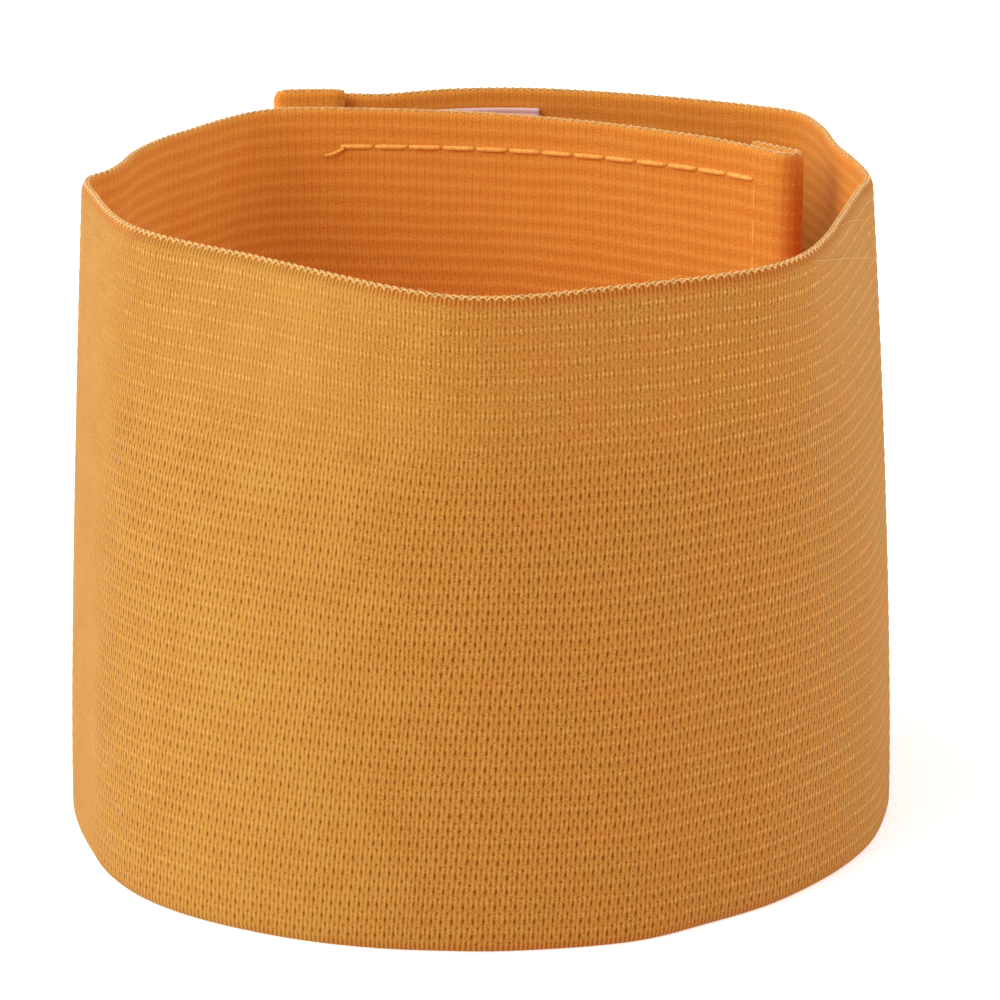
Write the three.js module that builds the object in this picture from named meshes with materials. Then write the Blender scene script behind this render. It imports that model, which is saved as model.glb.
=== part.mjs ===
// Captain armband: one wide elastic strap closed into a ring by a hook pad and a loop pad.
// Millimetres, +Z up. The ring stands on its lower edge with its front towards -Y, and the
// origin is the middle of its footprint on the surface that it stands on.
import * as THREE from 'three';

// Strap
const strapWidth = 70;
const strapThickness = 1.2;

// Ring, measured at the middle of the strap's thickness, at the upper and at the lower edge
const rimWidth = 85;
const rimDepth = 85.2;
const footWidth = 92.5;
const footDepth = 84;

// Closure: how far the ends overlap, how much of that is pressed together, and how far the
// outer end sits above the inner one
const overlapLength = 62.6;
const fastenedLength = 10;
const endRise = 0.5;

// Hems: each end is folded back on itself, the outer end inward and the inner end outward. The
// skew is how far the outer end's flap stands above the ply that it lies on
const outerHemLength = 7.1;
const outerHemSlit = 0.3;
const outerHemSkew = 0.8;
const innerHemLength = 6.3;
const innerHemSlit = 0.8;

// Pads: the hook pad covers the outer end's hem and steps down beyond it
const hookLength = 31;
const hookThickness = 1.0;
const hookEdgeMargin = 2.1;
const hookStepLength = 5;
const loopLength = 55;
const loopThickness = 0.9;
const loopEdgeMargin = 3.8;

// Clearance between pieces that touch
const clearance = 0.3;

// The wall leans in more and more towards the rim: the share of the lean at a share of the
// height is that share to this power
const leanPower = 1.6;

// Facets
const strapSteps = 150;
const turnSteps = 8;
const flapSteps = 4;
const hookSteps = 16;
const loopSteps = 24;
const levelSteps = 7;

// The ring seen from above, from the folded inner end at the back, round the left side, the
// front and the right side, to the loose stretch of the outer ply at the back. Columns: across
// and back at the rim as shares of rimWidth and rimDepth, then across and back at the foot as
// shares of footWidth and footDepth.
const outline = [
  [0.374, 0.720, 0.342, 0.745],
  [0.285, 0.805, 0.262, 0.825],
  [0.134, 0.899, 0.126, 0.918],
  [-0.022, 0.958, -0.022, 0.976],
  [-0.180, 0.984, -0.170, 1.002],
  [-0.295, 0.986, -0.275, 0.998],
  [-0.338, 0.964, -0.320, 0.974],
  [-0.372, 0.926, -0.360, 0.934],
  [-0.416, 0.860, -0.407, 0.865],
  [-0.455, 0.798, -0.446, 0.798],
  [-0.482, 0.728, -0.478, 0.720],
  [-0.494, 0.665, -0.495, 0.655],
  [-0.507, 0.624, -0.503, 0.612],
  [-0.529, 0.586, -0.511, 0.570],
  [-0.528, 0.552, -0.513, 0.530],
  [-0.510, 0.486, -0.510, 0.460],
  [-0.491, 0.419, -0.499, 0.396],
  [-0.464, 0.352, -0.478, 0.317],
  [-0.430, 0.303, -0.453, 0.243],
  [-0.372, 0.249, -0.410, 0.170],
  [-0.303, 0.196, -0.344, 0.106],
  [-0.215, 0.120, -0.240, 0.046],
  [-0.136, 0.054, -0.150, 0.017],
  [-0.058, 0.008, -0.072, 0.007],
  [0.010, 0.004, 0.010, 0.006],
  [0.151, 0.055, 0.152, 0.036],
  [0.249, 0.097, 0.235, 0.090],
  [0.318, 0.140, 0.303, 0.144],
  [0.363, 0.197, 0.356, 0.205],
  [0.394, 0.275, 0.401, 0.272],
  [0.420, 0.375, 0.438, 0.352],
  [0.455, 0.520, 0.464, 0.468],
  [0.473, 0.590, 0.469, 0.550],
  [0.467, 0.660, 0.467, 0.627],
  [0.446, 0.768, 0.450, 0.752],
  [0.434, 0.876, 0.429, 0.864],
  [0.408, 0.961, 0.400, 0.958],
  [0.352, 1.002, 0.345, 1.012],
  [0.210, 1.060, 0.206, 1.078],
  [0.045, 1.094, 0.044, 1.116],
  [-0.070, 1.083, -0.066, 1.106],
];

// The closure's layers from the middle of the inner ply to the middle of the outer ply
const fastenedOffset = strapThickness + clearance + loopThickness + clearance + hookThickness
  + clearance + strapThickness + outerHemSlit;

/** A smooth plan curve through points given as [x, y]. */
function planCurve(points) {
  const places = points.map(([x, y]) => new THREE.Vector3(x, y, 0));
  return new THREE.CatmullRomCurve3(places, false, 'centripetal');
}

/** The same outline at the rim and at the foot, with one measure of length for both. */
class Ring {
  constructor(rimPoints, footPoints) {
    this.rim = planCurve(rimPoints);
    this.foot = planCurve(footPoints);
    this.samples = (rimPoints.length - 1) * 24;
    this.lengths = [0];
    for (let i = 1; i <= this.samples; i++) {
      const step = [this.rim, this.foot].map((curve) => {
        const from = curve.getPoint((i - 1) / this.samples);
        return from.distanceTo(curve.getPoint(i / this.samples));
      });
      this.lengths.push(this.lengths[i - 1] + (step[0] + step[1]) / 2);
    }
    this.length = this.lengths[this.samples];
  }

  /** The curve parameter at a length along the strap. */
  parameter(length) {
    const after = this.lengths.findIndex((value) => value >= length);
    if (after < 0) return 1;
    if (after === 0) return 0;
    const before = this.lengths[after - 1];
    const share = (length - before) / (this.lengths[after] - before);
    return (after - 1 + share) / this.samples;
  }

  /** The wall's middle at a length along the strap and a share of the lean. */
  middle(length, lean) {
    const t = this.parameter(length);
    return this.foot.getPoint(t).lerp(this.rim.getPoint(t), lean);
  }

  /** The middle there, the direction along the strap and the direction out of the ring. */
  station(length, lean) {
    const reach = strapThickness / 2;
    const from = this.middle(Math.max(length - reach, 0), lean);
    const to = this.middle(Math.min(length + reach, this.length), lean);
    const along = to.sub(from).normalize();
    const out = new THREE.Vector3(along.y, -along.x, 0);
    return { middle: this.middle(length, lean), along, out };
  }
}

/** A table row's rim point and foot point. */
function rimPoint([across, back]) {
  return [across * rimWidth, back * rimDepth];
}

function footPoint([, , across, back]) {
  return [across * footWidth, back * footDepth];
}

/** The fastened stretch of the outer ply, which follows the inner ply at the layers' offset. */
function fastenedPoints(innerRing, lean) {
  const places = 4;
  const points = [];
  for (let i = 0; i < places; i++) {
    const length = overlapLength - fastenedLength * (1 - i / (places - 1));
    const { middle, out } = innerRing.station(length, lean);
    points.push([middle.x + out.x * fastenedOffset, middle.y + out.y * fastenedOffset]);
  }
  return points;
}

function makeRing() {
  const rimPoints = outline.map(rimPoint);
  const footPoints = outline.map(footPoint);
  const innerRing = new Ring(rimPoints, footPoints);
  return new Ring(
    rimPoints.concat(fastenedPoints(innerRing, 1)),
    footPoints.concat(fastenedPoints(innerRing, 0)),
  );
}

const ring = makeRing();

// The outer ply climbs over the overlap, from the inner end to the outer end
const riseStart = ring.length - overlapLength;

/** How far the strap sits above the floor at a length along it. */
function rise(length) {
  return endRise * THREE.MathUtils.smoothstep(length, riseStart, ring.length - fastenedLength);
}

/** Heights, with the share of the lean at each, for a piece that stays inside a margin. */
function levels(margin) {
  return Array.from({ length: levelSteps + 1 }, (_, j) => {
    const height = THREE.MathUtils.lerp(margin, strapWidth - margin, j / levelSteps);
    return { height, lean: (height / strapWidth) ** leanPower };
  });
}

/** The strap around a folded end: angle 0 is the ply and PI is the flap that lies on it. */
function foldStation(end, inward, side, slit, skew, angle, lean) {
  const { middle, along, out } = ring.station(end, lean);
  const radius = (strapThickness + slit) / 2;
  const into = along.multiplyScalar(inward);
  return {
    lift: rise(end) + (skew * angle) / Math.PI,
    middle: middle
      .addScaledVector(out, side * radius * (1 - Math.cos(angle)))
      .addScaledVector(into, -radius * Math.sin(angle)),
    out: out.clone().multiplyScalar(Math.cos(angle)).addScaledVector(into, side * Math.sin(angle)),
  };
}

/** The strap's flap, which lies beside the ply and faces the other way. */
function flapStation(length, side, slit, skew, lean) {
  const { middle, out } = ring.station(length, lean);
  return {
    lift: rise(length) + skew,
    middle: middle.addScaledVector(out, side * (strapThickness + slit)),
    out: out.negate(),
  };
}

/** Every station of the strap, from one raw edge to the other, as functions of the lean. */
function strapStations() {
  const stations = [];
  for (let i = 0; i < flapSteps; i++) {
    const length = innerHemLength * (1 - i / flapSteps);
    stations.push((lean) => flapStation(length, 1, innerHemSlit, 0, lean));
  }
  for (let i = turnSteps; i > 0; i--) {
    const angle = (Math.PI * i) / turnSteps;
    stations.push((lean) => foldStation(0, 1, 1, innerHemSlit, 0, angle, lean));
  }
  for (let i = 0; i <= strapSteps; i++) {
    const length = (ring.length * i) / strapSteps;
    stations.push((lean) => ({ lift: rise(length), ...ring.station(length, lean) }));
  }
  for (let i = 1; i <= turnSteps; i++) {
    const angle = (Math.PI * i) / turnSteps;
    stations.push((lean) => (
      foldStation(ring.length, -1, -1, outerHemSlit, outerHemSkew, angle, lean)
    ));
  }
  for (let i = 1; i <= flapSteps; i++) {
    const length = ring.length - (outerHemLength * i) / flapSteps;
    stations.push((lean) => flapStation(length, -1, outerHemSlit, outerHemSkew, lean));
  }
  return stations;
}

/** Stations of a pad that lies beside the strap, at an offset out of the ring. */
function padStations(start, end, steps, offset) {
  return Array.from({ length: steps + 1 }, (_, i) => {
    const length = THREE.MathUtils.lerp(start, end, i / steps);
    return (lean) => {
      const { middle, out } = ring.station(length, lean);
      return { lift: rise(length), middle: middle.addScaledVector(out, offset(length)), out };
    };
  });
}

/** A closed solid of one thickness through stations along the strap and levels up it. */
function wallGeometry(stations, heights, thickness) {
  const positions = [];
  const rows = heights.length;
  for (const face of [1, -1]) {
    for (const station of stations) {
      for (const { height, lean } of heights) {
        const { lift, middle, out } = station(lean);
        const point = middle.clone().addScaledVector(out, (face * thickness) / 2);
        positions.push(point.x, point.y, height + lift);
      }
    }
  }
  const outer = (i, j) => i * rows + j;
  const inner = (i, j) => (stations.length + i) * rows + j;
  const indices = [];
  const quad = (a, b, c, d) => indices.push(a, b, c, a, c, d);
  for (let i = 0; i < stations.length - 1; i++) {
    for (let j = 0; j < rows - 1; j++) {
      quad(outer(i, j), outer(i + 1, j), outer(i + 1, j + 1), outer(i, j + 1));
      quad(inner(i, j), inner(i, j + 1), inner(i + 1, j + 1), inner(i + 1, j));
    }
    quad(outer(i, 0), inner(i, 0), inner(i + 1, 0), outer(i + 1, 0));
    quad(outer(i, rows - 1), outer(i + 1, rows - 1), inner(i + 1, rows - 1), inner(i, rows - 1));
  }
  const last = stations.length - 1;
  for (let j = 0; j < rows - 1; j++) {
    quad(outer(0, j), outer(0, j + 1), inner(0, j + 1), inner(0, j));
    quad(outer(last, j), inner(last, j), inner(last, j + 1), outer(last, j + 1));
  }
  const geometry = new THREE.BufferGeometry();
  geometry.setAttribute('position', new THREE.Float32BufferAttribute(positions, 3));
  geometry.setIndex(indices);
  geometry.computeVertexNormals();
  return geometry;
}

function makeMesh(name, geometry, color, roughness) {
  const material = new THREE.MeshStandardMaterial({ color, roughness, metalness: 0 });
  const mesh = new THREE.Mesh(geometry, material);
  mesh.name = name;
  return mesh;
}

function makeStrap() {
  const geometry = wallGeometry(strapStations(), levels(0), strapThickness);
  return makeMesh('elastic_strap', geometry, 0xd6863c, 0.85);
}

/** The hook pad, on the outer ply's inner face: over the hem, then down onto the ply. */
function makeHookPad() {
  const onPly = strapThickness / 2 + clearance + hookThickness / 2;
  const hemTop = strapThickness + outerHemSlit;
  const hemEdge = ring.length - outerHemLength - clearance;
  const offset = (length) => -onPly
    - hemTop * THREE.MathUtils.smoothstep(length, hemEdge - hookStepLength, hemEdge);
  const end = ring.length - clearance;
  const stations = padStations(end - hookLength, end, hookSteps, offset);
  const geometry = wallGeometry(stations, levels(hookEdgeMargin), hookThickness);
  return makeMesh('hook_pad', geometry, 0xe0b8b0, 0.7);
}

/** The loop pad, on the inner ply's outer face, from the hem's raw edge on. */
function makeLoopPad() {
  const onPly = strapThickness / 2 + clearance + loopThickness / 2;
  const start = innerHemLength + clearance;
  const stations = padStations(start, start + loopLength, loopSteps, () => onPly);
  const geometry = wallGeometry(stations, levels(loopEdgeMargin), loopThickness);
  return makeMesh('loop_pad', geometry, 0xd2803a, 0.95);
}

/** The pieces together, moved so that the middle of their footprint is the origin. */
function makeArmband() {
  const armband = new THREE.Group();
  armband.add(makeStrap(), makeHookPad(), makeLoopPad());
  const box = new THREE.Box3().setFromObject(armband);
  armband.position.set(-(box.min.x + box.max.x) / 2, -(box.min.y + box.max.y) / 2, 0);
  return armband;
}

export default makeArmband();
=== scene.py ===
import math

import bpy
import numpy as np
from bpy.props import FloatProperty, FloatVectorProperty, PointerProperty
from bpy.types import Operator, Panel, PropertyGroup
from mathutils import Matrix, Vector


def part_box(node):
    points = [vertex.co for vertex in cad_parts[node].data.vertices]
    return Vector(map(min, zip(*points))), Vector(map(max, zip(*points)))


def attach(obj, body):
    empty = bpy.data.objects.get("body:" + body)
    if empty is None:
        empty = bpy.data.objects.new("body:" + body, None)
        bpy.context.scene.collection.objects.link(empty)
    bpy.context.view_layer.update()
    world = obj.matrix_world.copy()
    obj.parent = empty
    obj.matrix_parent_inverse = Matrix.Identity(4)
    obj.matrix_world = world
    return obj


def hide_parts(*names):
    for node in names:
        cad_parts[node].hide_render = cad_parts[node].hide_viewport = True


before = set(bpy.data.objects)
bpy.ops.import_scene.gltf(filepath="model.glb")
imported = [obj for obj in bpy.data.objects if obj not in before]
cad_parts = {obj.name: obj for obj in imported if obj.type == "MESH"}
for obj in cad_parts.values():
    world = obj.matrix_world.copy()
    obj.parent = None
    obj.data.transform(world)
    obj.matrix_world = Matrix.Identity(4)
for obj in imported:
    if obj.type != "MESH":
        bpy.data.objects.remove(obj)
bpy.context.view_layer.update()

bl_info = {
    "name": "Elastic armband",
    "version": (1, 0, 0),
    "blender": (4, 5, 0),
    "location": "3D View > Sidebar > Armband",
    "description": "A knitted elastic armband closed by a hook tape and a loop tape",
    "category": "Add Mesh",
}

MM = 0.001
STRAP_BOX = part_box("elastic_strap")
TURN = 2 * math.pi
SEED = 7

# Stretches of the unrolled strap, from the inner end's raw edge, where light is painted into
# the knit. The flat-lit one on the left, whose openings and loops are painted faint as flat
# light, begins and ends between two lengths. The pale one beside it, painted as yellow light,
# and the grazing-lit one at the right, whose openings are painted faint in grazing light, have a
# middle and a width. The painted highlights on the loops come up between two lengths.
FLAT_LIT_START = (100 * MM, 124 * MM)
FLAT_LIT_END = (136.5 * MM, 140.5 * MM)
PALE_LIT = (160 * MM, 24 * MM)
GRAZING_LIT = (248 * MM, 24 * MM)
LOOP_HIGHLIGHT_RISE = (185 * MM, 230 * MM)

# Each lamp: its name, its place, its width and its power
LAMPS = (
    ("Key_light", (-1.1, -0.8, 0.9), 1.2, 13.4),
    ("Left_light", (-1.5, 0.15, 0.8), 1.2, 6.9),
    ("Right_light", (1.5, 0.0, 0.8), 1.2, 9.7),
    ("Back_light", (-0.8, 0.7, 1.1), 1.0, 4.8),
)

# The ring seen from above, from the folded inner end at the back, round the left side, the
# front and the right side, to the loose stretch of the outer ply at the back. Columns: across
# and back at the rim as shares of the rim's width and depth, then the same at the foot.
OUTLINE = (
    (0.374, 0.720, 0.342, 0.745),
    (0.285, 0.805, 0.262, 0.825),
    (0.134, 0.899, 0.126, 0.918),
    (-0.022, 0.958, -0.022, 0.976),
    (-0.180, 0.984, -0.170, 1.002),
    (-0.295, 0.986, -0.275, 0.998),
    (-0.338, 0.964, -0.320, 0.974),
    (-0.372, 0.926, -0.360, 0.934),
    (-0.416, 0.860, -0.407, 0.865),
    (-0.455, 0.798, -0.446, 0.798),
    (-0.482, 0.728, -0.478, 0.720),
    (-0.494, 0.665, -0.495, 0.655),
    (-0.507, 0.624, -0.503, 0.612),
    (-0.529, 0.586, -0.511, 0.570),
    (-0.528, 0.552, -0.513, 0.530),
    (-0.510, 0.486, -0.510, 0.460),
    (-0.491, 0.419, -0.499, 0.396),
    (-0.464, 0.352, -0.478, 0.317),
    (-0.430, 0.303, -0.453, 0.243),
    (-0.372, 0.249, -0.410, 0.170),
    (-0.303, 0.196, -0.344, 0.106),
    (-0.215, 0.120, -0.240, 0.046),
    (-0.136, 0.054, -0.150, 0.017),
    (-0.058, 0.008, -0.072, 0.007),
    (0.010, 0.004, 0.010, 0.006),
    (0.151, 0.055, 0.152, 0.036),
    (0.249, 0.097, 0.235, 0.090),
    (0.318, 0.140, 0.303, 0.144),
    (0.363, 0.197, 0.356, 0.205),
    (0.394, 0.275, 0.401, 0.272),
    (0.420, 0.375, 0.438, 0.352),
    (0.455, 0.520, 0.464, 0.468),
    (0.473, 0.590, 0.469, 0.550),
    (0.467, 0.660, 0.467, 0.627),
    (0.446, 0.768, 0.450, 0.752),
    (0.434, 0.876, 0.429, 0.864),
    (0.408, 0.961, 0.400, 0.958),
    (0.352, 1.002, 0.345, 1.012),
    (0.210, 1.060, 0.206, 1.078),
    (0.045, 1.094, 0.044, 1.116),
    (-0.070, 1.083, -0.066, 1.106),
)


# Sizes and colours


def measure(name, description, millimetres):
    return FloatProperty(
        name=name, description=description, default=millimetres * MM, unit="LENGTH")


def number(name, description, default):
    return FloatProperty(name=name, description=description, default=default)


def colour(name, description, default):
    return FloatVectorProperty(
        name=name, description=description, default=default, subtype="COLOR", min=0, max=1)


class ArmbandSizes(PropertyGroup):
    """Lengths of the strap, its closure and its knit, all in metres."""

    strap_width: measure("Strap width", "Height of the standing ring's wall", 70)
    strap_thickness: measure("Strap thickness", "Thickness of the elastic", 1.2)
    rim_width: measure("Rim width", "Outline's width unit at the upper edge", 85)
    rim_depth: measure("Rim depth", "Outline's depth unit at the upper edge", 85.2)
    foot_width: measure("Foot width", "Outline's width unit at the lower edge", 92.5)
    foot_depth: measure("Foot depth", "Outline's depth unit at the lower edge", 84)
    lean_power: number("Lean power", "How late up the wall it leans in to the rim", 1.6)
    overlap: measure("Overlap", "Length over which the ends overlap", 62.6)
    fastened: measure("Fastened length", "Length over which the ends are pressed together", 10)
    end_rise: measure("End rise", "How far the outer end sits above the inner one", 0.5)
    outer_hem: measure("Outer hem", "Length folded back at the outer end", 7.1)
    outer_slit: measure("Outer hem slit", "Gap inside the outer end's fold", 0.3)
    outer_skew: measure("Outer hem skew", "How far the outer end's flap stands above its ply", 0.8)
    inner_hem: measure("Inner hem", "Length folded back at the inner end", 6.3)
    inner_slit: measure("Inner hem slit", "Gap inside the inner end's fold", 0.8)
    hook_length: measure("Hook tape length", "Length of the hook tape along the strap", 31)
    hook_thickness: measure("Hook tape thickness", "Thickness over the hooks", 1.0)
    hook_margin: measure("Hook tape margin", "From the strap's edges to the tape's edges", 2.1)
    hook_step: measure("Hook tape step", "Length in which the tape comes down off the hem", 5)
    loop_length: measure("Loop tape length", "Length of the loop tape along the strap", 55)
    loop_thickness: measure("Loop tape thickness", "Thickness over the loops", 0.9)
    loop_margin: measure("Loop tape margin", "From the strap's edges to the tape's edges", 3.8)
    clearance: measure("Clearance", "Gap between pieces that touch", 0.3)
    row_count: number("Knitted rows", "Rows over the strap's width", 41.4)
    edge_taper: measure("Edge taper", "Width over which the elastic thins to its edges", 1.3)
    stitch_pitch: measure("Stitch pitch", "Length of one repeat of the knit along the strap", 0.96)
    slant_top: measure("Slant top", "Height above which the ribs are upright", 55)
    slant: number("Slant", "How far the ribs lean along the strap for their height", 0.065)
    knit_depth: measure("Knit depth", "Depth of the openings between the ribs", 0.14)
    edge_band: measure("Edge band", "Width of the tight row beside each edge", 1.25)
    wrap_height: measure("Wrap height", "Height of the yarn's arches over an edge", 0.34)
    wrap_reach: measure("Wrap reach", "From the middle of the edge to the yarn beside it", 0.3)
    hem_seam: measure("Hem seam", "From the inner end's fold to the seam through its hem", 3.8)
    seam_inset: measure("Seam inset", "From a tape's edge to its seam", 0.7)
    loop_pitch: measure("Loop pitch", "Distance between two loops of the pile", 1.1)
    row_relief: measure("Row relief", "Depth of the valley between two knitted rows", 0.07)
    edge_yarn: measure("Edge yarn radius", "Radius of the yarn that binds the edges", 0.11)
    seam_stitch: measure("Seam stitch", "Length of one sewn stitch", 4.0)
    seam_thread: measure("Seam thread radius", "Radius of the sewing thread", 0.29)
    hook_pitch: measure("Hook pitch", "Distance between two hooks", 1.3)


class ArmbandColours(PropertyGroup):
    """Linear colours of the yarns, the tapes and the floor."""

    yarn: colour("Yarn", "The knit's bars on the inner face", (0.845, 0.332, 0.049))
    # Partly painted shade: the yarn is darker in the grooves between the bars.
    yarn_deep: colour("Deep yarn", "The yarn between the bars", (0.60, 0.175, 0.015))
    # Painted light: the yarn is the inner face's colour, brighter and redder as light bounced
    # inside the ring; the outer face is multiplied by this tone.
    outer_without_bounce: colour("Outer tone", "What the outer face keeps of it", (0.58, 0.645, 0.67))
    # Partly painted highlight: the knit's bright loops.
    yarn_light: colour("Light yarn", "The bright loops of each row", (0.78, 0.41, 0.115))
    # Painted shade: the openings' dark colour stands in for the shade inside them.
    opening_shade: colour("Hole", "The openings between the stitches", (0.175, 0.039, 0.0006))
    # Painted light: the paler, yellower yarn of the stretch beside the left side stands in for the
    # lamps' light there; the strap is not pressed.
    yarn_pale: colour("Pale yarn", "The yarn where the strap is pressed", (0.56, 0.30, 0.055))
    edge_red: colour("Edge red", "The tight row beside each edge", (0.56, 0.135, 0.018))
    edge_yarn: colour("Edge yarn", "The pale yarn that binds the edges", (0.51, 0.295, 0.09))
    seam: colour("Seam thread", "The sewing thread", (0.96, 0.50, 0.08))
    hook: colour("Hook tape", "The hooks' plastic", (0.80, 0.52, 0.50))
    hook_shade: colour("Hook tape shade", "The plastic between its ribs", (0.62, 0.33, 0.32))
    loop: colour("Loop tape", "The brushed loops", (0.66, 0.24, 0.05))
    floor: colour("Floor", "The surface that the ring stands on", (0.93, 0.93, 0.93))


class ArmbandStage(PropertyGroup):
    """The camera's place and the light."""

    camera_tilt: FloatProperty(
        name="Camera tilt", description="How far the camera looks down",
        default=math.radians(18), subtype="ANGLE")
    camera_lens: number("Camera lens", "Focal length in millimetres on a 36 mm sensor", 152.2)
    camera_back: measure("Camera distance", "From the origin to below the camera", 447.6)
    camera_side: measure("Camera side", "How far the camera is to the right of the origin", 2.0)
    camera_height: measure("Camera height", "Height of the camera above the floor", 179.3)
    floor_reach: FloatProperty(
        name="Floor reach", description="Half the floor's width", default=4.0, unit="LENGTH")
    floor_glow: number("Floor glow", "Strength of the light that the floor gives off", 0.35)
    sky: number("Sky", "Strength of the even light from all round", 0.72)


def sizes():
    return bpy.context.scene.armband_sizes


def colours():
    return bpy.context.scene.armband_colours


# Plan curve


def unit(vectors):
    """Each vector over its length."""
    return vectors / np.linalg.norm(vectors, axis=-1, keepdims=True)


def smooth(x, low, high):
    """0 below low, 1 above high, and 3s^2 - 2s^3 between."""
    s = np.clip((x - low) / (high - low), 0, 1)
    return s * s * (3 - 2 * s)


def spline(points, t):
    """A centripetal Catmull-Rom curve: each span is the cubic whose end slopes come from its
    neighbours, with the square roots of the chords as the knots' spacing."""
    ends = (2 * points[:1] - points[1:2], points, 2 * points[-1:] - points[-2:-1])
    padded = np.concatenate(ends)
    place = t * (len(points) - 1)
    i = np.clip(place.astype(int), 0, len(points) - 2)
    w = (place - i)[..., None]
    p0, p1, p2, p3 = (padded[i + k] for k in range(4))
    d0, d1, d2 = (
        np.linalg.norm(b - a, axis=-1, keepdims=True) ** 0.5
        for a, b in ((p0, p1), (p1, p2), (p2, p3)))
    slope1 = ((p1 - p0) / d0 - (p2 - p0) / (d0 + d1) + (p2 - p1) / d1) * d1
    slope2 = ((p2 - p1) / d1 - (p3 - p1) / (d1 + d2) + (p3 - p2) / d2) * d1
    cubic = 2 * p1 - 2 * p2 + slope1 + slope2
    square = -3 * p1 + 3 * p2 - 2 * slope1 - slope2
    return p1 + slope1 * w + square * w**2 + cubic * w**3


class Ring:
    """The wall's middle between a foot curve and a rim curve with one measure of length."""

    def __init__(self, rim, foot):
        self.rim, self.foot = rim, foot
        self.t = np.linspace(0, 1, (len(rim) - 1) * 24 + 1)
        steps = [np.linalg.norm(np.diff(spline(c, self.t), axis=0), axis=1) for c in (rim, foot)]
        self.lengths = np.concatenate([[0], np.cumsum((steps[0] + steps[1]) / 2)])
        self.length = self.lengths[-1]
        self.shift = np.zeros(2)

    def middle(self, length, lean):
        """foot + lean * (rim - foot) at each length."""
        t = np.interp(length, self.lengths, self.t)
        rim, foot = spline(self.rim, t), spline(self.foot, t)
        return foot + lean[..., None] * (rim - foot)

    def station(self, length, height):
        """The middle, the direction along the strap and the one out of the ring. The lean is
        the share of the height to a power, and the direction is that of a short chord."""
        s = sizes()
        reach = s.strap_thickness / 2
        length, height = np.broadcast_arrays(length, height)
        lean = np.clip(height / s.strap_width, 0, 1) ** s.lean_power
        before = self.middle(np.maximum(length - reach, 0), lean)
        after = self.middle(np.minimum(length + reach, self.length), lean)
        along = unit(after - before)
        out = np.stack([along[..., 1], -along[..., 0]], axis=-1)
        return self.middle(length, lean) + self.shift, along, out


def make_ring():
    """The whole outline: its fastened stretch lies a fixed offset outside the inner ply, and
    it is moved so that the strap is centred where the frame has it."""
    s = sizes()
    table = np.array(OUTLINE)
    rim = table[:, :2] * (s.rim_width, s.rim_depth)
    foot = table[:, 2:] * (s.foot_width, s.foot_depth)
    inner = Ring(rim, foot)
    offset = (2 * s.strap_thickness + s.loop_thickness + s.hook_thickness
              + 3 * s.clearance + s.outer_slit)
    length = s.overlap - s.fastened * np.linspace(1, 0, 4)
    curves = []
    for points, height in ((rim, s.strap_width), (foot, 0.0)):
        middle, _, out = inner.station(length, height)
        curves.append(np.concatenate([points, middle + out * offset]))
    ring = Ring(*curves)
    ring.inner_turn = (s.strap_thickness + s.inner_slit) / 2
    ring.outer_turn = (s.strap_thickness + s.outer_slit) / 2
    ring.start = s.inner_hem + math.pi * ring.inner_turn
    ring.end = ring.start + ring.length
    ring.cloth = ring.end + math.pi * ring.outer_turn + s.outer_hem
    cloth = np.linspace(0, ring.cloth, 900)[:, None, None]
    half = np.array([-0.5, 0.5])[:, None] * s.strap_thickness
    points = on_cloth(ring, cloth, half, np.array([0, s.strap_width]))[..., :2].reshape(-1, 2)
    low, high = np.array(STRAP_BOX)[:, :2]
    ring.shift = (low + high) / 2 - (points.min(axis=0) + points.max(axis=0)) / 2
    return ring


def rise(ring, length):
    """The outer ply climbs over the overlap by the end's rise, along 3s^2 - 2s^3."""
    s = sizes()
    return s.end_rise * smooth(length, ring.length - s.overlap, ring.length - s.fastened)


def on_ring(ring, length, offset, height):
    """Points beside the ring: middle + offset * out, raised by the rise."""
    length, offset, height = np.broadcast_arrays(length, offset, height)
    middle, _, out = ring.station(length, height)
    flat = middle + offset[..., None] * out
    return np.concatenate([flat, (height + rise(ring, length))[..., None]], axis=-1)


def on_cloth(ring, cloth, offset, height):
    """Points of the folded strap. cloth is the length along the unrolled strap from the inner
    end's raw edge, offset the distance from the middle of its thickness and height the distance
    up its width. With a the angle of the fold, 0 on the ring and pi on a flap, and r its radius,
    a point is middle + side (r (1 - cos a)) out - r sin a into + offset (cos a out + side sin a
    into), raised by the rise and by the flap's skew times a / pi."""
    s = sizes()
    cloth, offset, height = np.broadcast_arrays(cloth, offset, height)
    inner = cloth < (ring.start + ring.end) / 2
    radius = np.where(inner, ring.inner_turn, ring.outer_turn)
    side = np.where(inner, 1.0, -1.0)
    beyond = np.maximum(ring.start - cloth, cloth - ring.end)
    angle = np.clip(beyond / radius, 0, math.pi)
    flap = np.maximum(beyond - math.pi * radius, 0)
    length = np.clip(cloth - ring.start, 0, ring.length) + side * flap
    middle, along, out = ring.station(length, height)
    into = along * side[..., None]
    sine, cosine = np.sin(angle), np.cos(angle)
    outward = side * radius * (1 - cosine) + offset * cosine
    inward = (side * offset - radius) * sine
    flat = middle + outward[..., None] * out + inward[..., None] * into
    skew = np.where(inner, 0, s.outer_skew) * angle / math.pi
    return np.concatenate([flat, (height + rise(ring, length) + skew)[..., None]], axis=-1)


# Meshes


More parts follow.
